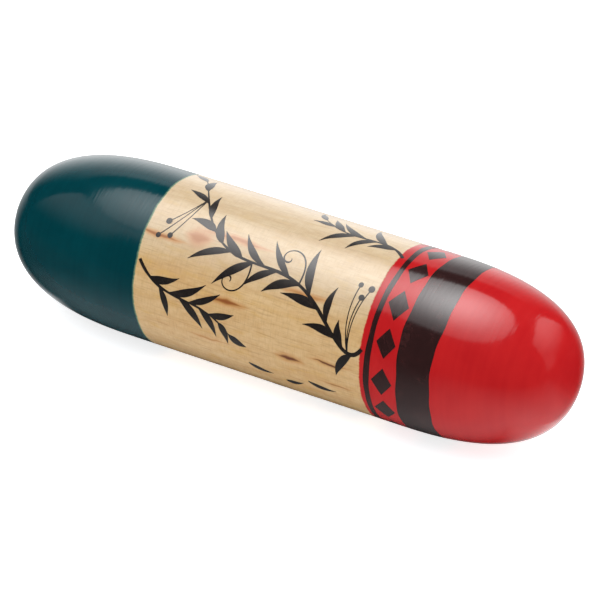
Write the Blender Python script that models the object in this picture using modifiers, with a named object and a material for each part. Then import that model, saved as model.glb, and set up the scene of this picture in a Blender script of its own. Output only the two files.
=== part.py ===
"""A turned wooden shaker: a bored tube closed by two hollow domed caps, with loose seeds inside.

Metres, +Z up. The shaker lies on its side along X, with its origin at its middle, on its own axis.
"""

import math
import random

import bpy
from mathutils import Euler, Vector

# Shell: a straight barrel and, past a short straight land at each end, a full, rounded dome.
SHELL_RADIUS = 0.0285
TUBE_LENGTH = 0.0920
TUBE_WALL = 0.0060
CAP_LAND = 0.0022
DOME_LENGTH = 0.0530
DOME_FULLNESS = 2.6
TIP_WALL = 0.0085

# The glued joint: each cap's spigot sits in a rebate in the mouth of the tube.
SPIGOT_LENGTH = 0.0100
SPIGOT_WALL = 0.0030
SPIGOT_CHAMFER = 0.0008
GLUE_GAP = 0.0003

# The filling: hard round seeds, one layer deep on the floor of the chamber.
SEED_COUNT = 46
SEED_DIAMETER = 0.0068
SEED_SPREAD = 0.14
SEED_FLATNESS = 0.93
SEED_DIMPLE = 0.10
SEED_GAP = 0.00035
SEAT_GAP = 0.0003
HEAP_TURN = math.radians(11)
HEAP_SLENDERNESS = 3.2
HEAP_RAGGEDNESS = 0.22
HEAP_SLOPE = math.radians(46)
HEAP_SHAKE = 4

# Facets of the round pieces. A multiple of 4 puts a flat at the bottom, the top and each side.
SHELL_FACETS = 56
DOME_STEPS_OUTSIDE = 15
DOME_STEPS_INSIDE = 10
SEED_SEGMENTS = 10
SEED_RINGS = 7
CREASE = math.radians(30)

# Colours, as linear red, green and blue.
BIRCH = (0.72, 0.50, 0.27)
TEAL = (0.003, 0.045, 0.056)
RED = (0.62, 0.014, 0.014)
SEED_BROWN = (0.045, 0.022, 0.012)

BORE_RADIUS = SHELL_RADIUS - TUBE_WALL
SPIGOT_RADIUS = BORE_RADIUS + SPIGOT_WALL
CHAMBER_DOME_LENGTH = DOME_LENGTH - TIP_WALL
CHAMBER_STRAIGHT_HALF = TUBE_LENGTH / 2 + GLUE_GAP + CAP_LAND


def clear_scene():
    for obj in list(bpy.data.objects):
        bpy.data.objects.remove(obj, do_unlink=True)


def material(name, colour, roughness):
    made = bpy.data.materials.new(name)
    made.use_nodes = True
    shader = made.node_tree.nodes["Principled BSDF"]
    shader.inputs["Base Color"].default_value = (*colour, 1)
    shader.inputs["Roughness"].default_value = roughness
    shader.inputs["Metallic"].default_value = 0
    made.diffuse_color = (*colour, 1)
    return made


def dome_outline(radius, length, start, steps):
    """A superellipse from the straight side at height start to the tip, as (radius, height) points."""
    share = 2 / DOME_FULLNESS
    points = []
    for step in range(1, steps):
        turn = math.pi / 2 * step / steps
        points.append((radius * math.cos(turn) ** share, start + length * math.sin(turn) ** share))
    points.append((0.0, start + length))
    return points


def turned(name, outline, finish, parent):
    """A piece turned about its own Z, from an outline of (radius, height) points down its outside."""
    half_facet = math.pi / SHELL_FACETS
    points = []
    for radius, height in outline:
        points.append((radius * math.cos(half_facet), radius * math.sin(half_facet), height))
    edges = [(i, i + 1) for i in range(len(points) - 1)]
    starts_at_the_tip = outline[0][0] == 0
    if not starts_at_the_tip:
        edges.append((len(points) - 1, 0))
    mesh = bpy.data.meshes.new(name)
    mesh.from_pydata(points, edges, [])
    mesh.materials.append(finish)
    piece = bpy.data.objects.new(name, mesh)
    collection.objects.link(piece)
    piece.parent = parent
    spin = piece.modifiers.new("Turn", "SCREW")
    spin.axis = "Z"
    spin.steps = SHELL_FACETS
    spin.render_steps = SHELL_FACETS
    spin.use_merge_vertices = True
    spin.merge_threshold = 0.00001
    bpy.context.view_layer.objects.active = piece
    bpy.ops.object.modifier_apply(modifier=spin.name)
    mesh.shade_smooth()
    mesh.set_sharp_from_angle(angle=CREASE)
    return piece


def make_tube(parent):
    """The barrel: a straight bored tube with a rebate at each mouth for a cap's spigot."""
    end = TUBE_LENGTH / 2
    shoulder = end - SPIGOT_LENGTH
    rebate_radius = SPIGOT_RADIUS + GLUE_GAP
    outline = [
        (SHELL_RADIUS, end),
        (SHELL_RADIUS, -end),
        (rebate_radius, -end),
        (rebate_radius, -shoulder),
        (BORE_RADIUS, -shoulder),
        (BORE_RADIUS, shoulder),
        (rebate_radius, shoulder),
        (rebate_radius, end),
    ]
    tube = turned("barrel_tube", outline, birch, parent)
    tube.rotation_euler.y = math.pi / 2


def make_cap(name, finish, side, parent):
    """A domed cap, hollowed to carry the bore on, with a chamfered spigot below its rim."""
    dome = dome_outline(SHELL_RADIUS, DOME_LENGTH, CAP_LAND, DOME_STEPS_OUTSIDE)
    rim_and_spigot = [
        (SHELL_RADIUS, CAP_LAND),
        (SHELL_RADIUS, 0.0),
        (SPIGOT_RADIUS, 0.0),
        (SPIGOT_RADIUS, SPIGOT_CHAMFER - SPIGOT_LENGTH),
        (SPIGOT_RADIUS - SPIGOT_CHAMFER, -SPIGOT_LENGTH),
        (BORE_RADIUS, -SPIGOT_LENGTH),
        (BORE_RADIUS, CAP_LAND),
    ]
    hollow = dome_outline(BORE_RADIUS, CHAMBER_DOME_LENGTH, CAP_LAND, DOME_STEPS_INSIDE)
    cap = turned(name, dome[::-1] + rim_and_spigot + hollow, finish, parent)
    cap.location.x = side * (TUBE_LENGTH / 2 + GLUE_GAP)
    cap.rotation_euler.y = side * math.pi / 2


def chamber_radius(along):
    """The smallest distance from the axis to the chamber's faceted wall, at this distance from the middle."""
    into_dome = max(0.0, abs(along) - CHAMBER_STRAIGHT_HALF) / CHAMBER_DOME_LENGTH
    round_radius = BORE_RADIUS * (1 - into_dome**DOME_FULLNESS) ** (1 / DOME_FULLNESS)
    return round_radius * math.cos(math.pi / SHELL_FACETS)


def heap_spots(shake):
    """Places for the seeds, seen from above: the middle of a staggered grid, ragged at its edge.

    Each seed has an upright column of its own, so that it can be thrown to the roof past no other.
    """
    pitch = SEED_DIAMETER + SEED_GAP
    row_pitch = pitch * math.sqrt(3) / 2
    half_width = (BORE_RADIUS - SEED_DIAMETER / 2) * math.sin(HEAP_SLOPE)
    reach = range(-SEED_COUNT // 2, SEED_COUNT // 2 + 1)
    spots = []
    for row in reach:
        for column in reach:
            along = (column + (row % 2) / 2) * pitch
            across = row * row_pitch
            x = along * math.cos(HEAP_TURN) - across * math.sin(HEAP_TURN)
            y = along * math.sin(HEAP_TURN) + across * math.cos(HEAP_TURN)
            raggedness = 1 + HEAP_RAGGEDNESS * shake.uniform(-1, 1)
            distance = math.hypot(x / HEAP_SLENDERNESS, y) * raggedness
            if abs(y) <= half_width:
                spots.append((distance, x, y))
    return [(x, y) for distance, x, y in sorted(spots)[:SEED_COUNT]]


def seed_mesh(name, radius):
    """A round seed, a little flat, with a dimple where it grew on its stalk."""
    bpy.ops.mesh.primitive_uv_sphere_add(
        segments=SEED_SEGMENTS, ring_count=SEED_RINGS, radius=radius
    )
    ball = bpy.context.object
    mesh = ball.data
    mesh.name = name
    top = max(mesh.vertices, key=lambda vertex: vertex.co.z)
    top.co.z -= SEED_DIMPLE * radius
    for vertex in mesh.vertices:
        vertex.co.z *= SEED_FLATNESS
    mesh.shade_smooth()
    mesh.materials.append(seed_brown)
    bpy.data.objects.remove(ball)
    return mesh


def height_in_chamber(x, y, along_reach, wall_reach):
    """How far above or below the axis a seed's middle is when it reaches to SEAT_GAP from the wall."""
    room = chamber_radius(abs(x) + along_reach) - wall_reach - SEAT_GAP
    return math.sqrt(room**2 - y**2)


def make_seeds(parent):
    """The loose seeds. Each one's origin is on the upright line along which it is thrown."""
    shake = random.Random(HEAP_SHAKE)
    for number, (x, y) in enumerate(heap_spots(shake), start=1):
        name = f"seed_{number:02d}"
        radius = SEED_DIAMETER / 2 * (1 - SEED_SPREAD * shake.random())
        mesh = seed_mesh(name, radius)
        roof = height_in_chamber(x, y, radius, radius)
        turn = Euler([shake.uniform(-math.pi, math.pi) for axis in range(3)])
        outward = turn.to_matrix().inverted() @ Vector((0, y, -roof)).normalized()
        lowest_reach = max(vertex.co.dot(outward) for vertex in mesh.vertices)
        floor = -height_in_chamber(x, y, radius, lowest_reach)
        seed = bpy.data.objects.new(name, mesh)
        collection.objects.link(seed)
        seed.parent = parent
        seed.location = (x, y, floor)
        seed.rotation_euler = turn
        print(f"{name}: at {x:.4f}, {y:.4f}, {floor:.4f}, thrown up by {roof - floor:.4f}")


clear_scene()
collection = bpy.data.collections.new("wooden_shaker")
bpy.context.scene.collection.children.link(collection)
birch = material("birch", BIRCH, 0.35)
teal = material("teal_paint", TEAL, 0.18)
red = material("red_paint", RED, 0.18)
seed_brown = material("seed_coat", SEED_BROWN, 0.5)

shaker = bpy.data.objects.new("shaker", None)
collection.objects.link(shaker)
make_tube(shaker)
make_cap("teal_end_cap", teal, -1, shaker)
make_cap("red_end_cap", red, 1, shaker)
make_seeds(shaker)
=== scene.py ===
# %% [markdown]
# # A painted wooden shaker
#
# The object is a closed wooden shell, turned on a lathe, with loose seeds inside.
# Its middle is pale varnished wood, its ends are coated in teal and red gloss paint,
# and a brush has drawn leafy branches and some border marks on it in black.
#
# The CAD model already gives every piece its place and size. This script loads that model
# as a frame and builds the pieces that show around it, at a finer finish.
# Everything is in metres, with Z up and the shaker lying along X.

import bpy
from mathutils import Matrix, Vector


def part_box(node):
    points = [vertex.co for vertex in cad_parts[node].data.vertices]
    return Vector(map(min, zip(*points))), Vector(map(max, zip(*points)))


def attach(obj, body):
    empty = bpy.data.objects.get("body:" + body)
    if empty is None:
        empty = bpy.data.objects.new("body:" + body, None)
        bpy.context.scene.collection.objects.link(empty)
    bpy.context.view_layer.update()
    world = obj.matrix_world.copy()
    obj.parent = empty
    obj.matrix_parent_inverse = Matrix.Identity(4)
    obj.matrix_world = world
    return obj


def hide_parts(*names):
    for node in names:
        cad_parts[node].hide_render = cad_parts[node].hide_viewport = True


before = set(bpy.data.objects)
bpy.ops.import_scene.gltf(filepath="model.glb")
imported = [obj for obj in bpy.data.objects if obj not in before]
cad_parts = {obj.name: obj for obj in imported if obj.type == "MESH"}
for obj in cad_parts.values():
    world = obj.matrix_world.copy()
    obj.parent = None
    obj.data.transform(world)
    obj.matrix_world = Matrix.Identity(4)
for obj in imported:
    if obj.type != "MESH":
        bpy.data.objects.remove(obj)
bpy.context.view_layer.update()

# %% Tools used below
import math
import random

import bpy
import numpy as np
from mathutils import Matrix, Vector

MM = 0.001

# %% [markdown]
# ## The camera
#
# The photograph looks down on the shaker from in front and to its right, through a long lens,
# so that the two ends come out nearly the same size. A camera looks along its own -Z axis.
# `to_track_quat` turns it so that -Z points at the shaker while its Y stays as upright as it can.
# The small shift slides the picture a little without turning the camera.

# %% The camera
CAMERA_SIDE = Vector((0.4349, -0.7246, 0.5346)).normalized()
CAMERA_DISTANCE = 1.2256

bpy.ops.object.camera_add(location=CAMERA_SIDE * CAMERA_DISTANCE)
camera = bpy.context.object
camera.name = "photo_camera"
camera.rotation_euler = (-CAMERA_SIDE).to_track_quat("-Z", "Y").to_euler()
camera.data.sensor_width = 36
camera.data.lens = 229.5
camera.data.shift_x = 0.01395
camera.data.shift_y = -0.0073
camera.data.clip_start = 0.05
camera.data.clip_end = 20
bpy.context.scene.camera = camera
print("camera at", tuple(round(value, 3) for value in camera.location))

# %% [markdown]
# ## The outline of the shell
#
# A lathe makes round things from one outline, and so does Blender's Spin. The outside of the shell
# is straight in the middle and ends in two full, rounded domes. Each dome follows a superellipse,
# a curve between an ellipse and a rectangle, which leaves the straight part with no visible corner.
# The CAD pieces have flat facets, and the fine ones here stay just inside them.

# %% Sizes of the shell
RADIUS = 28.40 * MM
BORE = 22.48 * MM
JOINT = 46.15 * MM
SHOULDER = 36.0 * MM
SPIGOT_OUTSIDE = 25.45 * MM
SPIGOT_CHAMFER = 0.8 * MM
GLUE = 0.15 * MM
STRAIGHT_END = 48.5 * MM
DOME_LENGTH = 53.0 * MM
TIP_WALL = 8.5 * MM
FULLNESS = 2.6
DOME_STEPS_OUTSIDE = 56
DOME_STEPS_INSIDE = 24

tube_low, tube_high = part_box("barrel_tube")
print("CAD tube", round(tube_high.x - tube_low.x, 4), "long,", round(tube_high.z - tube_low.z, 4), "wide")


def outside_radius(x):
    """The distance from the axis to the outside of the shell, at x along it."""
    into_dome = max(0.0, abs(x) - STRAIGHT_END) / DOME_LENGTH
    return RADIUS * max(0.0, 1 - into_dome**FULLNESS) ** (1 / FULLNESS)


def dome_points(radius, length, steps):
    """Points of a dome's outline, from the end of the straight part to the tip."""
    share = 2 / FULLNESS
    points = []
    for step in range(1, steps):
        turn = math.pi / 2 * step / steps
        points.append((STRAIGHT_END + length * math.sin(turn) ** share, radius * math.cos(turn) ** share))
    points.append((STRAIGHT_END + length, 0.0))
    return points


# %% [markdown]
# ## Turning a piece
#
# The outline starts as a circle of edges with no face, one vertex for each point of the outline.
# The vertices are moved to their places, an edge that lies on the axis is deleted, and Spin sweeps
# the rest round the X axis. Where the outline touches the axis, the sweep leaves many points on one
# spot, so doubles are merged. Only then can the normals be pointed outwards, because that takes
# knowing which faces are neighbours.

# %% Turning a piece
TURN_STEPS = 256


def deselect():
    bpy.ops.object.select_all(action="DESELECT")


def turned_piece(name, outline):
    """A closed solid of revolution about X, from a closed outline of (x, radius) points."""
    deselect()
    bpy.ops.mesh.primitive_circle_add(vertices=len(outline), radius=0.01, fill_type="NOTHING")
    piece = bpy.context.object
    piece.name = piece.data.name = name
    for vertex, (x, radius) in zip(piece.data.vertices, outline):
        vertex.co = (x, 0, radius)
    bpy.ops.object.mode_set(mode="EDIT")
    bpy.ops.mesh.select_mode(type="EDGE")
    bpy.ops.mesh.select_all(action="DESELECT")
    bpy.ops.object.mode_set(mode="OBJECT")
    for edge in piece.data.edges:
        edge.select = all(outline[index][1] == 0 for index in edge.vertices)
    bpy.ops.object.mode_set(mode="EDIT")
    bpy.ops.mesh.delete(type="EDGE")
    bpy.ops.mesh.select_all(action="SELECT")
    bpy.ops.mesh.spin(steps=TURN_STEPS, angle=2 * math.pi, center=(0, 0, 0), axis=(1, 0, 0))
    bpy.ops.mesh.select_all(action="SELECT")
    bpy.ops.mesh.remove_doubles(threshold=0.001 * MM)
    bpy.ops.mesh.normals_make_consistent(inside=False)
    bpy.ops.object.mode_set(mode="OBJECT")
    bpy.ops.object.shade_smooth_by_angle(angle=math.radians(30))
    print(name, "has", len(piece.data.polygons), "faces")
    return piece


# %% [markdown]
# ## The barrel
#
# The middle of the shell is a straight tube with a bore through it. Each mouth has a rebate,
# a wider step in the bore, that takes the spigot of an end cap. None of that shows from outside,
# but it is what the real piece is, so its outline runs down the outside and back up the bore.

# %% The barrel
barrel_outline = [
    (JOINT, RADIUS),
    (0.0, RADIUS),
    (-JOINT, RADIUS),
    (-JOINT, SPIGOT_OUTSIDE + GLUE),
    (-SHOULDER, SPIGOT_OUTSIDE + GLUE),
    (-SHOULDER, BORE),
    (SHOULDER, BORE),
    (SHOULDER, SPIGOT_OUTSIDE + GLUE),
    (JOINT, SPIGOT_OUTSIDE + GLUE),
]
barrel = turned_piece("varnished_barrel", barrel_outline)
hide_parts("barrel_tube")
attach(barrel, "shell")

# %% [markdown]
# ## The end caps
#
# Each end is a dome turned from its own block and hollowed, with a thin spigot that is glued
# into the tube. Its outline starts at the tip, comes down the outside, goes round the spigot
# and climbs the hollow back to the axis. The same outline makes both caps: x only changes sign.

# %% The end caps
spigot_end = SHOULDER + 2 * GLUE
cap_outline = dome_points(RADIUS, DOME_LENGTH, DOME_STEPS_OUTSIDE)[::-1]
cap_outline += [
    (STRAIGHT_END, RADIUS),
    (JOINT, RADIUS),
    (JOINT, SPIGOT_OUTSIDE),
    (spigot_end + SPIGOT_CHAMFER, SPIGOT_OUTSIDE),
    (spigot_end, SPIGOT_OUTSIDE - SPIGOT_CHAMFER),
    (spigot_end, BORE),
    (STRAIGHT_END, BORE),
]
cap_outline += dome_points(BORE, DOME_LENGTH - TIP_WALL, DOME_STEPS_INSIDE)

teal_cap = turned_piece("teal_lacquered_cap", [(-x, radius) for x, radius in cap_outline])
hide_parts("teal_end_cap")
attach(teal_cap, "shell")

red_cap = turned_piece("red_lacquered_cap", cap_outline)
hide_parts("red_end_cap")
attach(red_cap, "shell")

# %% [markdown]
# ## Helpers for materials
#
# A material is a small network of nodes, called a tree. These helpers keep it short to read.
# An input is either a value or the output of another node, and an output knows its tree,
# so `add_node` puts each new node in the tree that its inputs are in.
# The others wrap nodes that are used again and again.

# %% A node and its inputs
MATH_KINDS = {"+": "ADD", "-": "SUBTRACT", "*": "MULTIPLY", "/": "DIVIDE", "max": "MAXIMUM"}


def feed(node, inputs):
    """Sets a node's inputs, by name or number, each to a value or to another node's output."""
    for key, value in inputs.items():
        if isinstance(value, bpy.types.NodeSocket):
            node.id_data.links.new(value, node.inputs[key])
        else:
            node.inputs[key].default_value = value


def add_node(kind, inputs, **settings):
    """A new node of this kind, in the tree that its inputs are in."""
    tree = next(value.id_data for value in inputs.values() if isinstance(value, bpy.types.NodeSocket))
    node = tree.nodes.new(kind)
    for setting, value in settings.items():
        setattr(node, setting, value)
    feed(node, inputs)
    return node


# %% Sums
def maths(first, kind, second=0.0):
    """One sum. The kind is a sign from MATH_KINDS, or the name of a Math node's operation."""
    kind = MATH_KINDS.get(kind, kind)
    return add_node("ShaderNodeMath", {0: first, 1: second}, operation=kind).outputs[0]


def times(first, *others):
    """All of these multiplied together."""
    for other in others:
        first = maths(first, "*", other)
    return first


def weighted(*parts):
    """The sum of the parts, where each part is a value and its weight."""
    total = 0.0
    for value, weight in parts:
        total = maths(maths(value, "*", weight), "+", total)
    return total


def centred(value, size):
    """Noise moved to lie about 0, from minus to plus half the size."""
    return maths(maths(value, "-", 0.5), "*", size)


def step(value, low, high):
    """0 up to low, 1 from high on, and a smooth rise in between. With low above high it falls."""
    inputs = {"Value": value, "From Min": low, "From Max": high}
    return add_node("ShaderNodeMapRange", inputs, interpolation_type="SMOOTHSTEP").outputs[0]


def ramp(value, low, high, at_low, at_high):
    """A straight line from at_low to at_high as the value goes from low to high, and level beyond."""
    return add_node("ShaderNodeMapRange", {0: value, 1: low, 2: high, 3: at_low, 4: at_high}).outputs[0]


# %% Colours and patterns
def mixed(share, first, second):
    """A colour between first and second. Colours are (red, green, blue), or an output."""
    inputs = {0: share}
    for key, colour in ((6, first), (7, second)):
        inputs[key] = (*colour, 1.0) if isinstance(colour, tuple) else colour
    return add_node("ShaderNodeMix", inputs, data_type="RGBA").outputs[2]


def laid_over(below, cover, strength, above):
    """The colour above laid over the colour below, where it covers and as strongly as it does."""
    return mixed(maths(cover, "*", strength), below, above)


def noise(place, size, detail=2.0, roughness=0.5, stretch=(1, 1, 1)):
    """Cloudy noise from 0 to 1 with blobs about this size, drawn out along each axis by stretch."""
    scale = tuple(1 / length for length in stretch)
    moved = add_node("ShaderNodeMapping", {"Vector": place, "Scale": scale}).outputs[0]
    inputs = {"Vector": moved, "Scale": 1 / size, "Detail": detail, "Roughness": roughness}
    return add_node("ShaderNodeTexNoise", inputs).outputs[0]


# %% Places on a piece
def split(place):
    """The x, y and z of a place, in metres."""
    return add_node("ShaderNodeSeparateXYZ", {0: place}).outputs[:]


def bearing(sideways, ahead):
    """The angle in degrees from straight ahead, positive on the sideways side."""
    return maths(maths(sideways, "ARCTAN2", ahead), "*", 180 / math.pi)


def along_and_round(place):
    """x in mm, the angle from the top towards the camera in degrees, and z in mm."""
    x, y, z = split(place)
    angle = bearing(maths(y, "*", -1.0), z)
    return maths(x, "*", 1000), angle, maths(z, "*", 1000)


# %% A material, and what wears it
def blank_material(name):
    """A new material, its nodes, and the Principled shader among them."""
    made = bpy.data.materials.new(name)
    made.use_nodes = True
    nodes = made.node_tree.nodes
    return made, nodes, nodes["Principled BSDF"]


def new_finish(name, roughness, ior=1.5):
    """A new material for the shaker, with the place on the piece that its patterns read."""
    made, nodes, shader = blank_material(name)
    feed(shader, {"Roughness": roughness, "IOR": ior})
    return made, shader, nodes.new("ShaderNodeTexCoord").outputs["Object"]


def roughen(shader, height):
    """Gives the shader a fine relief. The height is in micrometres."""
    inputs = {"Height": height, "Distance": 0.001 * MM, "Strength": 1.0}
    normal = add_node("ShaderNodeBump", inputs).outputs[0]
    feed(shader, {"Normal": normal, "Coat Normal": normal})


def wear(piece, *finishes):
    """Gives a piece these materials, in place of any that it has."""
    piece.data.materials.clear()
    for finish in finishes:
        piece.data.materials.append(finish)


# %% [markdown]
# ## Gloss paint
#
# The ends are brushed with thick gloss paint while the piece turns on the lathe.
# Such paint is never one flat colour: it is a little thinner in places, and the brush leaves fine
# rings round the piece, which are far too shallow to see until something is reflected in them.
# One function makes both paints, since they differ only in colour. The barrel uses its parts too,
# because the paint reaches past the joints on to the tube.

# %% Gloss paint
TEAL = (0.0004, 0.0400, 0.0490)
TEAL_THIN = (0.0010, 0.0500, 0.0600)
RED = (0.505, 0.0105, 0.0130)
RED_THIN = (0.560, 0.0150, 0.0160)
PAINT_IOR = 1.55
GLOSS = 0.15


def paint_colour(place, full, thin):
    """The colour of a paint coat, a little uneven."""
    clouds = noise(place, 14 * MM, detail=3)
    rings = noise(place, 1.5 * MM, stretch=(1, 30, 30))
    unevenness = weighted((clouds, 0.7), (rings, 0.3))
    return mixed(step(unevenness, 0.3, 0.7), full, thin)


def paint_relief(place):
    """The relief of a brushed gloss coat, in micrometres."""
    rings = noise(place, 0.8 * MM, detail=1, stretch=(1, 9, 9))
    marks = noise(place, 2.2 * MM, detail=1, stretch=(1, 3, 3))
    ripple = noise(place, 9 * MM, detail=1)
    return weighted((rings, 27.0), (marks, 14.0), (ripple, 10.0))


def paint_roughness(place):
    """How dull the gloss is, with duller smears."""
    smears = noise(place, 6 * MM, detail=4, roughness=0.6, stretch=(1, 3, 3))
    return ramp(smears, 0.0, 1.0, 0.07, 0.15)


def gloss_paint(name, full, thin):
    made, shader, place = new_finish(name, GLOSS, PAINT_IOR)
    feed(shader, {"Base Color": paint_colour(place, full, thin), "Roughness": paint_roughness(place)})
    roughen(shader, paint_relief(place))
    print(name, "has", len(made.node_tree.nodes), "nodes")
    return made


teal_paint = gloss_paint("teal_gloss_paint", TEAL, TEAL_THIN)
red_paint = gloss_paint("red_gloss_paint", RED, RED_THIN)

# %% [markdown]
# ## Pale turned wood
#
# The wood is a pale, close-grained kind. Along the piece run broad soft streaks, finer fibres and
# short dark pores, and here and there a reddish fleck shaped like a thin lens, where a knot or
# a sap pocket was cut. Round the piece run very fine lines from the sanding on the lathe.
# All of it is noise that is stretched along X for the grain or round X for the sanding.
# The flecks are placed one by one, so a node group holds the lens shape and is used for each.

# %% The shape of one fleck in the grain
FLECK_SIZES = ("Middle", "Middle Angle", "Half Length", "Half Width")


def fleck_group():
    """A node group: a lens-shaped fleck, as the share of its core and of the stain round it."""
    group = bpy.data.node_groups.new("grain_fleck", "ShaderNodeTree")
    for name in ("Along", "Angle", *FLECK_SIZES):
        group.interface.new_socket(name, in_out="INPUT", socket_type="NodeSocketFloat")
    for name in ("Core", "Stain"):
        group.interface.new_socket(name, in_out="OUTPUT", socket_type="NodeSocketFloat")
    given = group.nodes.new("NodeGroupInput").outputs
    along = maths(maths(given["Along"], "-", given["Middle"]), "/", given["Half Length"])
    across = maths(maths(given["Angle"], "-", given["Middle Angle"]), "/", given["Half Width"])
    distance = maths(maths(along, "*", along), "+", maths(across, "ABSOLUTE"))
    add_node("NodeGroupOutput", {
        "Core": step(distance, 0.95, 0.15),
        "Stain": step(distance, 2.2, 0.1),
    })
    return group


# %% Colour and relief of the wood
WOOD_PALE = (0.790, 0.540, 0.262)
WOOD_TAN = (0.695, 0.422, 0.174)
WOOD_HONEY = (0.720, 0.434, 0.140)
WOOD_FIBRE = (0.500, 0.266, 0.093)
# A painted sheen: a creamy colour for the upper side of the wood, standing in for the lamp's highlight.
PAINTED_TOP_SHEEN = (0.530, 0.575, 0.530)

# The colours of a fleck's core and of the stain round it.
RUSTY = (0.300, 0.085, 0.020), (0.600, 0.255, 0.060)
BROWN = (0.150, 0.042, 0.016), (0.600, 0.255, 0.060)
PINK = (0.300, 0.085, 0.020), (0.620, 0.300, 0.150)

# Each fleck: its middle in mm, its angle from the top in degrees, half its length in mm,
# half its width in degrees, how strong its core and its stain are, and their colours.
FLECKS = [
    (-38, 42, 9.0, 1.7, 0.75, 0.90, RUSTY),
    (-24, 36, 4.5, 5.0, 0.35, 0.90, PINK),
    (-11, 30, 11.0, 2.0, 0.35, 0.90, PINK),
    (-8, 70.2, 7.0, 2.1, 0.95, 0.85, RUSTY),
    (16, 95.4, 5.0, 2.4, 1.00, 0.80, BROWN),
    (30.5, 89.7, 7.0, 1.5, 1.00, 0.75, BROWN),
    (19, 51, 8.5, 1.8, 0.25, 0.80, RUSTY),
    (-14, 101, 6.0, 1.0, 0.30, 0.60, RUSTY),
    (33, 106, 5.5, 1.0, 0.50, 0.55, BROWN),
]
BACK_FLECKS = 9


def all_flecks():
    """The flecks listed, and others strewn over the back."""
    shake = random.Random(11)
    flecks = list(FLECKS)
    for number in range(BACK_FLECKS):
        middle_angle = 150 + 190 * number / BACK_FLECKS
        middle_angle -= 360 * (middle_angle > 180)
        colours = shake.choice([RUSTY, BROWN, PINK])
        flecks.append((
            shake.uniform(-34, 34), middle_angle, shake.uniform(3, 8), shake.uniform(0.9, 2.4),
            shake.uniform(0.2, 0.85), shake.uniform(0.45, 0.8), colours,
        ))
    return flecks


def wood_colour(place, along, angle, height):
    """The wood's colour. Its upper side gets a painted creamy sheen that stands in for the lamp's highlight
    there.
    """
    broad = noise(place, 4 * MM, detail=3, stretch=(9, 1, 1))
    figure = noise(place, 2.6 * MM, detail=4, roughness=0.6, stretch=(4, 1, 1))
    fibres = noise(place, 0.42 * MM, detail=2, stretch=(16, 1, 1))
    mottle = noise(place, 2.0 * MM, detail=4, roughness=0.65, stretch=(1.6, 1, 1))
    sanding = noise(place, 0.32 * MM, detail=1, stretch=(1, 10, 10))
    pores = noise(place, 0.22 * MM, detail=1, stretch=(7, 1, 1))
    shade = maths(centred(broad, 1.0), "+", centred(mottle, 1.1))
    colour = mixed(step(shade, -0.35, 0.35), WOOD_PALE, WOOD_TAN)
    colour = laid_over(colour, step(figure, 0.50, 0.72), 0.80, WOOD_HONEY)
    colour = laid_over(colour, step(fibres, 0.46, 0.80), 0.55, WOOD_FIBRE)
    colour = laid_over(colour, step(sanding, 0.45, 0.78), 0.28, WOOD_FIBRE)
    colour = laid_over(colour, step(pores, 0.66, 0.80), 0.45, WOOD_FIBRE)
    # Painted highlight: the upper side is laid over with a creamy sheen, by height alone, not by any grain.
    colour = laid_over(colour, step(height, 11, 24), 0.27, PAINTED_TOP_SHEEN)
    group = fleck_group()
    bend = noise(place, 7 * MM, detail=2)
    bent_angle = maths(angle, "+", centred(bend, 5.0))
    for *sizes, in_core, in_stain, (core, stain) in all_flecks():
        inputs = {"Along": along, "Angle": bent_angle, **dict(zip(FLECK_SIZES, sizes))}
        fleck = add_node("ShaderNodeGroup", inputs, node_tree=group)
        colour = laid_over(colour, fleck.outputs["Stain"], in_stain, stain)
        colour = laid_over(colour, fleck.outputs["Core"], in_core, core)
    return colour


def wood_relief(place):
    """The relief of varnished wood, in micrometres. The varnish leaves little of the grain."""
    grain = noise(place, 0.7 * MM, detail=3, stretch=(12, 1, 1))
    rings = noise(place, 0.6 * MM, detail=2, stretch=(1, 20, 20))
    ripple = noise(place, 8 * MM, detail=1)
    return weighted((grain, 6.0), (rings, 4.0), (ripple, 10.0))


# %% [markdown]
# ## The barrel's finish
#
# The barrel shows wood in its middle and paint at both ends. Each paint's edge is a plane that
# leans a little, as it does when a turned piece is masked by hand. The teal edge is sharp,
# with a paler rim where the coat is thin over the grain, and the red one is softer.
# The wood and its clear coat are satin, so a lamp shows there as a broad soft glow, while the thick
# paint is glossy and shows the lamp's own outline. So a smooth step on the distance from each edge
# makes a mask, which sets colour, gloss, clear coat and relief.

# %% The barrel's finish
# Where each paint edge crosses the shell's axis, and how far it leans at the top, in mm.
TEAL_EDGE, TEAL_LEAN = -41.7, -1.6
RED_EDGE, RED_LEAN = 41.3, -1.0
RIM_TEAL = (0.150, 0.250, 0.150)
PAINT_HEIGHT = 25.0
SATIN = 0.21
CLEAR_COAT, CLEAR_COAT_IOR = 0.30, 2.0


def past_edge(along, height, edge, lean, side):
    """How far a point is past a paint edge, in mm, on the painted side."""
    leaning = maths(maths(height, "*", lean / (RADIUS / MM)), "+", edge)
    return maths(maths(along, "-", leaning), "*", side)


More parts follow.
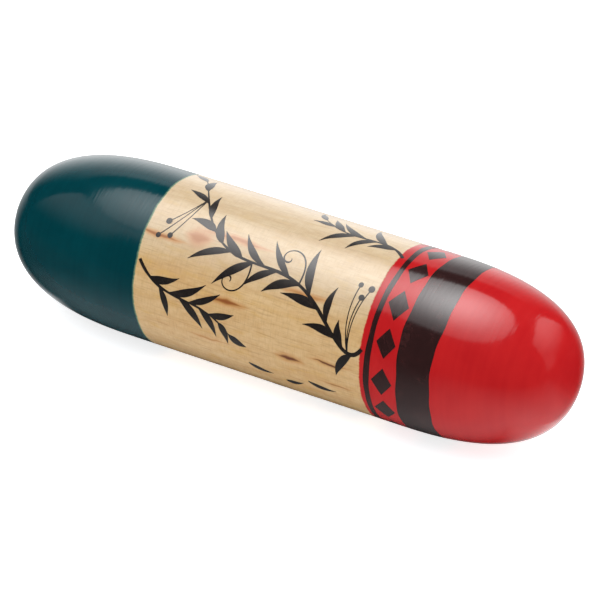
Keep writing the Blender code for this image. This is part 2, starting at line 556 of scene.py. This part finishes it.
def barrel_finish():
    made, shader, place = new_finish("varnished_wood_and_paint", GLOSS, PAINT_IOR)
    along, angle, height = along_and_round(place)
    wood = wood_colour(place, along, angle, height)
    teeth = centred(noise(place, 0.55 * MM, detail=3, stretch=(3, 1, 1)), 0.7)
    drift = centred(noise(place, 9 * MM, detail=1), 0.9)
    teal_depth = past_edge(along, height, TEAL_EDGE, TEAL_LEAN, -1)
    teal_depth = maths(maths(teal_depth, "+", teeth), "+", drift)
    red_depth = past_edge(along, height, RED_EDGE, RED_LEAN, 1)
    red_depth = maths(maths(red_depth, "+", maths(teeth, "*", 0.8)), "+", drift)
    teal = paint_colour(place, TEAL, TEAL_THIN)
    teal = mixed(step(teal_depth, 0.15, 0.75), RIM_TEAL, teal)
    red = paint_colour(place, RED, RED_THIN)
    in_teal = step(teal_depth, -0.10, 0.10)
    in_red = step(red_depth, -0.25, 0.25)
    painted = maths(in_teal, "max", in_red)
    bare = maths(1.0, "-", painted)
    feed(shader, {
        "Base Color": mixed(in_red, mixed(in_teal, wood, teal), red),
        "Roughness": weighted((paint_roughness(place), painted), (bare, SATIN)),
        "Coat Weight": maths(bare, "*", CLEAR_COAT),
        "Coat Roughness": SATIN,
        "Coat IOR": CLEAR_COAT_IOR,
    })
    coat_height = maths(paint_relief(place), "+", PAINT_HEIGHT)
    roughen(shader, weighted((wood_relief(place), bare), (coat_height, painted)))
    return made


varnished = barrel_finish()
print("the barrel's finish has", len(varnished.node_tree.nodes), "nodes")

# %% [markdown]
# ## Bare wood inside
#
# The bore, the rebates and the spigots get no varnish and no paint. They are dull and a little
# rough from the boring tool, with rings round the axis.

# %% Bare wood inside
BARE_PALE = (0.560, 0.370, 0.190)
BARE_TAN = (0.430, 0.265, 0.120)


def bare_wood_finish():
    made, shader, place = new_finish("bare_bored_wood", 0.75)
    grain = noise(place, 2.2 * MM, detail=4, roughness=0.6, stretch=(14, 1, 1))
    rings = noise(place, 0.8 * MM, detail=2, stretch=(1, 30, 30))
    colour = mixed(step(grain, 0.35, 0.7), BARE_PALE, BARE_TAN)
    feed(shader, {"Base Color": laid_over(colour, rings, 0.25, BARE_TAN)})
    roughen(shader, weighted((rings, 60.0), (grain, 30.0)))
    return made


bare_wood = bare_wood_finish()


def finish_inside_and_out(piece, outside):
    """The outside takes its own finish, and every face inside the shell is bare wood."""
    wear(piece, outside, bare_wood)
    inside = 0
    for face in piece.data.polygons:
        distance = math.hypot(face.center.y, face.center.z)
        hidden = distance < outside_radius(face.center.x) - 0.4 * MM
        face.material_index = int(hidden)
        inside += hidden
    print(piece.name, "has", inside, "bare faces inside")


finish_inside_and_out(barrel, varnished)
finish_inside_and_out(teal_cap, teal_paint)
finish_inside_and_out(red_cap, red_paint)

# %% [markdown]
# ## Brush marks
#
# The black decoration is paint as well, laid on with a soft pointed brush, so each mark swells
# and runs out to a point. A mark starts as a flat grid. Its columns are set along a path and
# spread to the width of the brush there. Each mark is rolled round the shell, and the marks of one
# drawing are joined and given a thin wall: a real coat of paint, a few hundredths of a millimetre thick.
# On the flat sheet, x runs along the shaker and y round it from the top towards the camera, in mm.

# %% Brush marks
MARK_ROWS = 4
brush_hand = random.Random(5)


def curve(led_by):
    """A path that gives the place at each share of a smooth curve led by these points."""

    def path(share):
        points = [Vector(point) for point in led_by]
        while len(points) > 1:
            points = [first.lerp(second, share) for first, second in zip(points, points[1:])]
        return points[0]

    return path


def flat_grid(columns, rows):
    """A flat square grid of size 1, with a UV map."""
    deselect()
    bpy.ops.mesh.primitive_grid_add(x_subdivisions=columns, y_subdivisions=rows, size=1, calc_uvs=True)
    return bpy.context.object


def brush_mark(path, half_width, columns):
    """One stroke, flat on the sheet. path(share) is its middle and half_width(share) its reach."""
    mark = flat_grid(columns, MARK_ROWS)
    for vertex in mark.data.vertices:
        share, across = vertex.co.x + 0.5, 2 * vertex.co.y
        heading = path(min(1.0, share + 0.004)) - path(max(0.0, share - 0.004))
        sideways = Vector((-heading.y, heading.x)).normalized()
        place = path(share) + sideways * across * half_width(share)
        vertex.co = (place.x, place.y, 0)
    return mark


def tapered(widths):
    """A half width that runs through these values at even steps along the stroke."""

    def half_width(share):
        place = share * (len(widths) - 1)
        first = min(int(place), len(widths) - 2)
        return widths[first] + (widths[first + 1] - widths[first]) * (place - first)

    return half_width


def leaf(start, heading, length, width, curl):
    """A slender leaf: thin at its stalk, full in its middle and drawn out to a fine tip."""
    turn = math.radians(heading)
    ahead = Vector((math.cos(turn), math.sin(turn)))
    sideways = Vector((-ahead.y, ahead.x))
    middle = start + ahead * length * 0.45 + sideways * curl * length * 0.26
    path = curve([start, middle, start + ahead * length])
    fullest = brush_hand.uniform(0.75, 1.0)
    uneven = brush_hand.uniform(-0.06, 0.06)

    def half_width(share):
        swell = math.sin(math.pi * share**fullest) ** 1.15 if 0 < share < 0.999 else 0.0
        return 0.06 + width / 2 * swell * (1 + uneven * math.sin(9 * share)) + 0.10 * (1 - share) ** 3

    return brush_mark(path, half_width, 24)


def berry(x, y, radius):
    """A round dab of the brush."""

    def half_width(share):
        return max(0.02, radius * math.sqrt(max(0.0, 1 - (2 * share - 1) ** 2)))

    return brush_mark(lambda share: Vector((x + (2 * share - 1) * radius, y)), half_width, 14)


def tendril(start, heading, length, turns, side):
    """A thin curl that starts almost straight and then winds up on itself."""
    steps = 60
    places = [start]
    angle = math.radians(heading)
    for number in range(steps):
        share = number / steps
        angle += side * 2 * math.pi * turns / steps * (0.25 + 1.5 * share)
        pace = length / steps * (1.5 - 1.15 * share)
        places.append(places[-1] + Vector((math.cos(angle), math.sin(angle))) * pace)

    def path(share):
        place = share * steps
        first = min(int(place), steps - 1)
        return places[first].lerp(places[first + 1], place - first)

    return brush_mark(path, tapered([0.30, 0.26, 0.24, 0.20, 0.34, 0.10]), steps)


def roll(mark, lift):
    """Rolls a flat mark round the shell. A stripe's two ends meet there, so they are merged."""
    for vertex in mark.data.vertices:
        x, angle = vertex.co.x * MM, vertex.co.y * MM / RADIUS
        radius = outside_radius(x) + lift
        vertex.co = (x, -radius * math.sin(angle), radius * math.cos(angle))
    deselect()
    mark.select_set(True)
    bpy.context.view_layer.objects.active = mark
    bpy.ops.object.mode_set(mode="EDIT")
    bpy.ops.mesh.select_all(action="SELECT")
    bpy.ops.mesh.remove_doubles(threshold=0.01 * MM)
    bpy.ops.mesh.normals_make_consistent(inside=False)
    bpy.ops.object.mode_set(mode="OBJECT")
    first = mark.data.polygons[0]
    if first.normal.dot(Vector((0, first.center.y, first.center.z))) < 0:
        mark.data.flip_normals()


def roll_on(name, marks, lift, thickness):
    """Rolls flat marks round the shell, joins them and makes them a thin coat of paint."""
    for mark in marks:
        roll(mark, lift)
    for mark in marks:
        mark.select_set(True)
    if len(marks) > 1:
        bpy.ops.object.join()
    coat = bpy.context.object
    coat.name = coat.data.name = name
    wall = coat.modifiers.new("Coat", "SOLIDIFY")
    wall.thickness = thickness
    wall.offset = -1
    bpy.ops.object.modifier_apply(modifier=wall.name)
    bpy.ops.object.shade_smooth_by_angle(angle=math.radians(30))
    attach(coat, "shell")
    print(name, "has", len(coat.data.polygons), "faces")
    return coat


# %% [markdown]
# ## The leafy branches on the wood
#
# A long branch waves across the front of the wood, and two short ones grow in from the painted ends.
# Leaves part from a stem at about 40 degrees, on either side in turn, and are longest halfway along.
# Berries and curled tendrils fill the gaps. The back has branches of its own, so that the shaker
# is drawn on all round. A fixed random seed gives each leaf its own length and bend.

# %% A branch with its leaves
stem_marks, leaf_marks, berry_marks = [], [], []


def branch(led_by, thick, leaves, length, width, first=0.05):
    """A stem along the led curve with leaves on both sides. Gives back its path."""
    path = curve(led_by)

    def half_width(share):
        return thick * (1.1 - share) ** 0.7 + 0.12 + 0.05 * math.sin(31 * share)

    stem_marks.append(brush_mark(path, half_width, 90))
    for number in range(leaves):
        share = first + (0.99 - first) * number / (leaves - 1)
        ahead = path(min(1.0, share + 0.01)) - path(share - 0.01)
        side = 1 if number % 2 else -1
        along_stem = 0.7 + 0.45 * math.sin(math.pi * min(1.0, share * 1.1))
        size = length * brush_hand.uniform(0.82, 1.12) * along_stem
        turn = side * brush_hand.uniform(32, 48) * (1 - 0.55 * share**4)
        heading = math.degrees(math.atan2(ahead.y, ahead.x)) + turn
        curl = -side * brush_hand.uniform(0.4, 1.0)
        leaf_marks.append(leaf(path(share), heading, size, width * brush_hand.uniform(0.85, 1.15), curl))
    return path


def berries(root, places):
    """Berries as (x, y, radius), each on a thin bent stalk from the root."""
    for x, y, radius in places:
        end = Vector((x, y))
        bend = root.lerp(end, 0.5) + Vector((end.y - root.y, root.x - end.x)) * 0.12
        stem_marks.append(brush_mark(curve([root, bend, end]), tapered([0.24, 0.17, 0.17, 0.2]), 14))
        berry_marks.append(berry(x, y, radius))


# %% The branches on the front
LONG = {"thick": 0.52, "leaves": 19, "length": 13.5, "width": 2.5}
SHORT = {"thick": 0.40, "leaves": 9, "length": 11.5, "width": 2.3, "first": 0.14}
SMALL = {"thick": 0.40, "leaves": 8, "length": 11, "width": 2.2, "first": 0.14}

front = branch([(41.5, 36), (30, 56), (15, -26), (-9, 54), (-20, 14), (-37, -9)], **LONG)
stem_marks.append(tendril(front(0.37), heading=-80, length=25, turns=1.15, side=-1))
stem_marks.append(tendril(front(0.58), heading=75, length=25, turns=1.2, side=1))
berries(front(0.08), [(36.5, 20.5, 1.0), (38.6, 17.0, 1.15), (34.6, 16.6, 0.9)])
berries(front(0.90), [(-36.5, 15.5, 1.1), (-34.0, 20.0, 0.95), (-38.0, 21.0, 0.9)])
branch([(-41.5, 30), (-30, 44), (-18, 34), (-6, 46)], **SHORT)
branch([(41.5, 2), (32, -8), (22, 4), (9, -7)], **SMALL)
for x, y, heading, length in ((0, 55.5, 12, 9), (13, 59, -14, 7), (22, 55, 6, 10)):
    leaf_marks.append(leaf(Vector((x, y)), heading, length, width=1.8, curl=0.7))

# %% The branches on the back
back = branch([(-41.5, 96), (-28, 72), (-8, 136), (10, 76), (24, 124), (37, 108)], **LONG)
stem_marks.append(tendril(back(0.35), heading=-75, length=24, turns=1.15, side=-1))
stem_marks.append(tendril(back(0.60), heading=95, length=25, turns=1.2, side=1))
berries(back(0.10), [(-33, 114, 1.0), (-36.5, 116, 1.15), (-35, 119.5, 0.9)])
branch([(41.5, 84), (30, 72), (20, 82), (8, 73)], **SMALL)
branch([(-41.5, 136), (-30, 146), (-18, 134), (-4, 143)], **SHORT)
branch([(41.5, 134), (32, 148), (22, 136), (10, 148)], **SMALL)

# %% Roll the drawing on to the wood
stems = roll_on("branch_stem_brushwork", stem_marks, 0.028 * MM, 0.045 * MM)
leaves = roll_on("branch_leaf_brushwork", leaf_marks, 0.036 * MM, 0.052 * MM)
berry_dabs = roll_on("berry_brushwork", berry_marks, 0.040 * MM, 0.052 * MM)

# %% [markdown]
# ## The border marks on the red end
#
# A thin line follows the edge of the red paint. Past it come a row of diamonds and a broad ring,
# all painted by hand, so the stripes waver a little and no two diamonds are the same.

# %% The border marks on the red end
GIRTH = 2 * math.pi * RADIUS / MM
STRIPE_STEPS = 224
DIAMONDS = 14
DIAMOND_ROW = 49.4


def band(middle, half_width, waver, phase, rows):
    """A stripe all the way round, with uneven edges."""
    stripe = flat_grid(rows, STRIPE_STEPS)
    for vertex in stripe.data.vertices:
        across, turn = 2 * vertex.co.x, vertex.co.y
        side = 1 if across > 0 else -1
        angle = 2 * math.pi * turn
        slow = math.sin(3 * angle + phase * side)
        quicker = 0.6 * math.sin(7 * angle + 2 * phase + side)
        quickest = 0.3 * math.sin(17 * angle + side)
        wide = half_width + waver * (slow + quicker + quickest)
        vertex.co = (middle + across * wide, turn * GIRTH, 0)
    return stripe


def diamond(x, y, half_length, half_height):
    """A diamond that leans a little: a square grid stood on its corner."""
    mark = flat_grid(8, 8)
    lean = brush_hand.uniform(-0.12, 0.12)
    for vertex in mark.data.vertices:
        across, up = vertex.co.x - vertex.co.y, vertex.co.x + vertex.co.y
        vertex.co = (x + (across + lean * up) * half_length, y + up * half_height, 0)
    return mark


ring_mark = band(middle=60.0, half_width=6.0, waver=0.35, phase=0.8, rows=14)
line_mark = band(middle=43.9, half_width=0.95, waver=0.16, phase=2.1, rows=4)
diamond_marks = []
for number in range(DIAMONDS):
    x = DIAMOND_ROW + brush_hand.uniform(-0.25, 0.25)
    half_length = brush_hand.uniform(3.4, 3.8)
    half_height = brush_hand.uniform(4.6, 5.2)
    y = GIRTH * ((number + 0.5) / DIAMONDS - 0.5) + brush_hand.uniform(-0.4, 0.4)
    diamond_marks.append(diamond(x, y, half_length, half_height))
ring = roll_on("red_cap_ring_brushwork", [ring_mark], 0.030 * MM, 0.050 * MM)
line = roll_on("red_cap_line_brushwork", [line_mark], 0.030 * MM, 0.046 * MM)
diamonds = roll_on("red_cap_diamond_brushwork", diamond_marks, 0.030 * MM, 0.046 * MM)

# %% [markdown]
# ## Black brush paint
#
# Black paint from a brush is thinner where the bristles part, and shows a little of the colour below.
# The streaks follow the stroke, so they read the UV map of the grid, in which u runs along the stroke
# and v across it. On a stripe v runs all the way round the shell, and spreads them into patches.
# On the wood the paint lies under the satin varnish. On the red it is as glossy as the red.

# %% Black brush paint
INK = (0.0170, 0.0130, 0.0115)
INK_THIN = (0.0450, 0.0300, 0.0200)
INK_ON_RED = (0.0290, 0.0110, 0.0105)
INK_ON_RED_THIN = (0.0520, 0.0170, 0.0160)
INK_ON_RED_IOR = 1.65


def brush_paint(name, full, thin, ior, satin):
    """Black paint, either satin under the varnish or as glossy as the paint that it lies on."""
    made, shader, place = new_finish(name, SATIN, ior)
    stroke = made.node_tree.nodes.new("ShaderNodeUVMap").outputs[0]
    bristles = noise(stroke, 0.07, detail=3, stretch=(10, 1, 1))
    patches = noise(place, 1.6 * MM, detail=3)
    coat = weighted((bristles, 0.6), (patches, 0.4))
    feed(shader, {"Base Color": mixed(step(coat, 0.48, 0.72), full, thin)})
    if satin:
        feed(shader, {"Coat Weight": CLEAR_COAT, "Coat Roughness": SATIN, "Coat IOR": CLEAR_COAT_IOR})
        roughen(shader, wood_relief(place))
    else:
        feed(shader, {"Roughness": paint_roughness(place)})
        roughen(shader, paint_relief(place))
    print(name, "has", len(made.node_tree.nodes), "nodes")
    return made


black_on_wood = brush_paint("black_paint_under_varnish", INK, INK_THIN, PAINT_IOR, satin=True)
black_on_red = brush_paint("black_gloss_paint", INK_ON_RED, INK_ON_RED_THIN, INK_ON_RED_IOR, satin=False)
for coat in (stems, leaves, berry_dabs):
    wear(coat, black_on_wood)
for coat in (ring, line, diamonds):
    wear(coat, black_on_red)

# %% [markdown]
# ## The seeds
#
# Shut inside are the seeds that make the sound: hard, round and nearly black. Each is a little flat,
# with a small dimple where it grew on its stalk. One seed is modelled and then copied
# into the place of each CAD seed, so that it lies and moves just where that one does.
# A round seed bulges past the CAD seed's flat facets, so each is made a little smaller.

# %% One seed
def model_seed():
    """A seed of radius 1 about its own middle, flat along Z, with its dimple on top."""
    deselect()
    bpy.ops.mesh.primitive_uv_sphere_add(segments=20, ring_count=14, radius=1)
    seed = bpy.context.object
    seed.name = "seed_model"
    for vertex in seed.data.vertices:
        out = math.hypot(vertex.co.x, vertex.co.y)
        if vertex.co.z > 0:
            dimple = 0.16 * math.exp(-((out / 0.26) ** 2))
            brim = 0.02 * math.exp(-(((out - 0.42) / 0.12) ** 2))
            vertex.co.z -= dimple - brim
        vertex.co.z *= 0.93
    bpy.ops.object.shade_smooth()
    return seed


seed_model = model_seed()

# %% Where each CAD seed is
def place_of_seed(node):
    """The middle, the radius and the axis of a CAD seed, from its vertices."""
    points = np.unique(np.array([vertex.co for vertex in node.data.vertices]).round(7), axis=0)
    middle = points.mean(axis=0)
    out = points - middle
    flat_axis = np.linalg.svd(out, full_matrices=False)[2][2]
    reach = out @ flat_axis
    # The axis points to the dimple, on the side that reaches less far.
    if reach.max() > -reach.min():
        flat_axis = -flat_axis
    return Vector(middle), np.linalg.norm(out, axis=1).max(), Vector(flat_axis)


# %% The seeds' finish
SEED_DARK = (0.016, 0.009, 0.006)
SEED_BROWN = (0.070, 0.034, 0.017)
SEED_PALE = (0.200, 0.125, 0.070)


def seed_finish():
    made, shader, place = new_finish("hard_seed_coat", 0.42)
    clouds = noise(place, 2.4 * MM, detail=4, roughness=0.6)
    specks = noise(place, 0.35 * MM, detail=2)
    colour = mixed(step(clouds, 0.38, 0.66), SEED_DARK, SEED_BROWN)
    colour = laid_over(colour, step(specks, 0.62, 0.74), 0.5, SEED_PALE)
    feed(shader, {"Base Color": colour, "Roughness": ramp(clouds, 0.0, 1.0, 0.34, 0.52)})
    roughen(shader, maths(specks, "*", 18.0))
    return made


seed_coat = seed_finish()

# %% The seeds
SEED_SHARE = 0.975
seed_nodes = sorted(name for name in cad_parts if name.startswith("seed_"))
for name in seed_nodes:
    middle, radius, axis = place_of_seed(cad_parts[name])
    seed = bpy.data.objects.new(name.replace("seed", "dark_seed"), seed_model.data.copy())
    bpy.context.scene.collection.objects.link(seed)
    turn = axis.to_track_quat("Z", "Y").to_matrix().to_4x4()
    seed.data.transform(Matrix.Translation(middle) @ turn @ Matrix.Scale(radius * SEED_SHARE, 4))
    wear(seed, seed_coat)
    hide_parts(name)
    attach(seed, name)
bpy.data.objects.remove(seed_model)
print(len(seed_nodes), "seeds, each in its CAD seed's place")

# %% [markdown]
# ## The studio
#
# The photograph was taken on a white table in soft light. Two things are wanted from a studio:
# even light for the colours, and something for the gloss to reflect. It is easier to get both
# right when they are apart. So the lamps light the shaker but don't show in its gloss,
# and glowing cards show in its gloss but don't light it. Neither is seen by the camera.

# %% The table
FLOOR_Z = -RADIUS - 0.01 * MM
TABLE_REACH = 4.2
TABLE_GLOW = 0.10
TABLE_SEEN = 0.66


def table_finish():
    """White card that gives back a little more light than it gets, and shows as white."""
    made, nodes, shader = blank_material("white_table")
    rays = nodes.new("ShaderNodeLightPath").outputs
    seen = maths(rays["Is Camera Ray"], "max", rays["Is Glossy Ray"])
    feed(shader, {
        "Base Color": (0.92, 0.92, 0.92, 1),
        "Roughness": 0.9,
        "Specular IOR Level": 0.0,
        "Emission Color": (1, 1, 1, 1),
        "Emission Strength": maths(maths(seen, "*", TABLE_SEEN), "+", TABLE_GLOW),
    })
    clear = nodes.new("ShaderNodeBsdfTransparent").outputs[0]
    side = nodes.new("ShaderNodeNewGeometry").outputs["Backfacing"]
    below = maths(side, "*", rays["Is Camera Ray"])
    mix = add_node("ShaderNodeMixShader", {0: below, 1: shader.outputs[0], 2: clear})
    feed(nodes["Material Output"], {0: mix.outputs[0]})
    return made


deselect()
bpy.ops.mesh.primitive_circle_add(vertices=96, radius=TABLE_REACH, fill_type="NGON", location=(0, 0, FLOOR_Z))
table = bpy.context.object
table.name = "white_table"
wear(table, table_finish())
print("table top at", round(FLOOR_Z, 5))

# %% The lamps and the even light
LAMP_LEVEL = 1.95
LAMP_TINT = (0.95, 1.00, 1.09)
DOME_LEVEL = 0.44
ROOM_LEVEL = 0.006
LAMP_AT = (-0.45, -0.30, 2.0)
LAMP_WIDTH, LAMP_DEPTH = 2.42, 3.08
LIGHT_FORWARD = Vector((0, -0.20, 0))
SIDE_LEVEL = 2.3
SIDE_AT = Vector((1.25, 1.00, 1.20))
SIDE_SIZE = 1.6

bpy.ops.object.light_add(type="AREA", location=Vector(LAMP_AT) + LIGHT_FORWARD)
lamp = bpy.context.object
lamp.name = "overhead_lamp"
lamp.data.shape = "ELLIPSE"
lamp.data.size, lamp.data.size_y = LAMP_WIDTH, LAMP_DEPTH
lamp.data.energy = LAMP_LEVEL * math.pi * math.pi * LAMP_WIDTH * LAMP_DEPTH / 4
lamp.data.color = LAMP_TINT

bpy.ops.object.light_add(type="AREA", location=SIDE_AT)
side_lamp = bpy.context.object
side_lamp.name = "right_hand_lamp"
side_lamp.rotation_euler = (-SIDE_AT).to_track_quat("-Z", "Y").to_euler()
side_lamp.data.size = SIDE_SIZE
side_lamp.data.energy = SIDE_LEVEL * math.pi * SIDE_SIZE**2
for light in (lamp, side_lamp):
    light.visible_camera = light.visible_glossy = False


def glowing(name, strength_of):
    """A surface that only glows. strength_of(place) gives how brightly."""
    made, nodes, shader = blank_material(name)
    nodes.remove(shader)
    place = nodes.new("ShaderNodeTexCoord").outputs["Object"]
    glow = nodes.new("ShaderNodeEmission")
    feed(glow, {"Strength": strength_of(place)})
    feed(nodes["Material Output"], {0: glow.outputs[0]})
    return made


def sky(name, radius, level, seen_in_gloss):
    """A glowing dome round everything, that either shows in the gloss or gives light."""
    deselect()
    bpy.ops.mesh.primitive_uv_sphere_add(segments=48, ring_count=24, radius=radius)
    dome = bpy.context.object
    dome.name = name
    wear(dome, glowing(name, lambda place: level))
    dome.visible_camera = False
    dome.visible_glossy, dome.visible_diffuse = seen_in_gloss, not seen_in_gloss
    return dome


sky("even_light", 4.0, DOME_LEVEL, False)
sky("dim_room", 4.3, ROOM_LEVEL, True)
print("lamps of", round(lamp.data.energy, 2), "and", round(side_lamp.data.energy, 2), "watts")

# %% [markdown]
# ## What the gloss reflects
#
# In the photograph the gloss shows a big round lamp with a hot middle nearly overhead, a white sweep
# low at the back, a paler panel at the right and a faint one at the left. The front is dark,
# and the table shows white only at the back and close to the ends. Each is a card here,
# with a glow that fades where the real one does.

# %% A card for the gloss
def show_in_gloss_only(card, strength_of):
    """Makes a card glow, and hides it from everything but the gloss."""
    wear(card, glowing(card.name, strength_of))
    card.visible_camera = card.visible_diffuse = card.visible_shadow = False


def glow_card(name, corners, strength_of):
    """A flat card with these corners that shows in the gloss only."""
    deselect()
    bpy.ops.mesh.primitive_circle_add(vertices=len(corners), radius=1, fill_type="NGON")
    card = bpy.context.object
    card.name = name
    for vertex, corner in zip(card.data.vertices, corners):
        vertex.co = corner
    show_in_gloss_only(card, strength_of)
    print(name, "has", len(corners), "corners")


def far_from(value, middle, width=1.0):
    """The square of the distance from the middle, in widths."""
    off = maths(maths(value, "-", middle), "/", width)
    return maths(off, "*", off)


def decay(value, length=1.0):
    """1 at 0, and about a third as much with each further length."""
    return maths(maths(value, "/", -length), "EXPONENT")


# %% The lamp's face
LAMP_SIDES = 48


def lamp_glow(place):
    """A hot middle, a level that rises to the back, and a soft rim."""
    x, y = split(place)[:2]
    hot = decay(maths(far_from(x, -0.37, 0.62), "+", far_from(y, 0.05, 0.88)))
    level = maths(maths(hot, "*", 4.75), "+", ramp(y, -1.7, 0.1, 0.60, 1.25))
    out_x = far_from(x, LAMP_AT[0], LAMP_WIDTH / 2)
    out_y = far_from(y, LAMP_AT[1], LAMP_DEPTH / 2)
    return maths(level, "*", step(maths(out_x, "+", out_y), 1.0, 0.86))


lamp_rim = []
for number in range(LAMP_SIDES):
    turn = 2 * math.pi * number / LAMP_SIDES
    x = LAMP_AT[0] + LAMP_WIDTH / 2 * math.cos(turn)
    y = LAMP_AT[1] + LAMP_DEPTH / 2 * math.sin(turn)
    lamp_rim.append((x, y, LAMP_AT[2]))
glow_card("lamp_face_card", lamp_rim, lamp_glow)

# %% The side panels
RIGHT_PANEL = [
    (2.45, 0.02, 0.06), (1.40, 4.24, 0.06), (0.676, 1.69, 1.47), (0.723, 1.29, 1.52),
    (0.80, 0.99, 1.52), (0.90, 0.676, 1.50), (1.044, 0.36, 1.44), (1.20, 0.02, 1.37),
]
LEFT_PANEL = [(-2.14, -0.16, 0.35), (-1.35, -1.85, 0.35), (-0.95, -1.2, 1.5), (-1.44, -0.03, 1.5)]


def right_glow(place):
    """A pale panel, brighter to the back, with a faint foot at its front."""
    y, z = split(place)[1:]
    panel = maths(step(z, 0.46, 1.46), "*", ramp(y, 0.0, 0.9, 0.58, 1.50))
    foot = times(step(z, 0.12, 0.50), step(y, 0.95, 0.45), 0.32)
    return maths(panel, "max", foot)


def left_glow(place):
    """A fainter panel, which fades downwards, and sooner towards the front."""
    y, z = split(place)[1:]
    nearer = maths(maths(y, "+", 0.5), "*", 0.30)
    return maths(step(maths(z, "+", nearer), 0.35, 1.35), "*", 0.50)


glow_card("right_card", RIGHT_PANEL, right_glow)
glow_card("left_card", LEFT_PANEL, left_glow)

# %% The sweep at the back
SWEEP_RADIUS = 2.5
SWEEP_LEFT, SWEEP_RIGHT = -76, 14
SWEEP_TOP = 2.3
SWEEP_STEPS = 41


def sweep_glow(place):
    """Brightest low down and in the middle, and dark at both ends and at the top."""
    x, y, z = split(place)
    around = bearing(x, y)
    ends = maths(step(around, SWEEP_LEFT, -38), "*", step(around, SWEEP_RIGHT, -30))
    return times(ramp(z, 0.4, 1.45, 1.48, 0.62), ends, step(z, 2.2, 1.85))


sweep = flat_grid(SWEEP_STEPS, SWEEP_STEPS)
sweep.name = "white_sweep"
for vertex in sweep.data.vertices:
    turn = math.radians(SWEEP_LEFT + (vertex.co.x + 0.5) * (SWEEP_RIGHT - SWEEP_LEFT))
    height = FLOOR_Z + (vertex.co.y + 0.5) * (SWEEP_TOP - FLOOR_Z)
    vertex.co = (SWEEP_RADIUS * math.sin(turn), SWEEP_RADIUS * math.cos(turn), height)
show_in_gloss_only(sweep, sweep_glow)
print("sweep from", SWEEP_LEFT, "to", SWEEP_RIGHT, "degrees")


# %% The table in the gloss
def behind_glow(x, y):
    """The white table behind the shaker, as far round as each end leaves it in view."""
    from_left = bearing(maths(x, "+", 0.085), maths(y, "+", 0.020))
    from_right = bearing(maths(x, "-", 0.105), y)
    nearest = ramp(x, -0.28, -0.14, 1.05, 0.70)
    past_tip = ramp(x, -0.090, -0.075, 0.018, 0.0)
    return times(
        ramp(from_left, -83, -38, 0.0, 1.25),
        step(from_right, 20, -34),
        ramp(x, -0.30, -0.12, 1.04, 0.94),
        ramp(y, 0.10, 0.45, nearest, 1.10),
        step(maths(y, "+", past_tip), -0.014, 0.008),
    )


def right_pool_glow(x, y):
    """The table in front of the red end: white close to it, and soon dark further out."""
    square = maths(far_from(x, 0.11), "+", far_from(y, -0.025))
    away = maths(square, "SQRT")
    pool = weighted((decay(away, 0.045), 0.76), (decay(away, 0.32), 0.27))
    in_front = maths(step(y, 0.045, 0.0), "*", ramp(x, 0.0, 0.09, 0.35, 1.0))
    return maths(pool, "*", in_front)


def left_pool_glow(x, y):
    """A faint streak on the table, just in front of the shaker's left half."""
    away = maths(maths(y, "+", 0.035), "ABSOLUTE")
    streak = maths(decay(away, 0.032), "*", 0.34)
    left_half = maths(step(x, -0.130, -0.065), "*", step(x, 0.02, -0.03))
    return maths(streak, "*", left_half)


def table_glow(place):
    """White behind the shaker, and two pools in front that stop where it rests."""
    x, y = split(place)[:2]
    pools = maths(right_pool_glow(x, y), "+", left_pool_glow(x, y))
    contact = maths(step(y, -0.010, -0.031), "max", step(x, 0.080, 0.100))
    return maths(behind_glow(x, y), "+", maths(pools, "*", contact))


card_z = FLOOR_Z + 0.05 * MM
card_corners = [(x * TABLE_REACH, y * TABLE_REACH, card_z) for x, y in ((-1, -1), (1, -1), (1, 1), (-1, 1))]
glow_card("table_gloss_card", card_corners, table_glow)

# %% The white background
world = bpy.data.worlds.new("white_background")
bpy.context.scene.world = world
world.use_nodes = True
feed(world.node_tree.nodes["Background"], {"Color": (1, 1, 1, 1), "Strength": 1.0})
bpy.context.scene.view_settings.view_transform = "Standard"
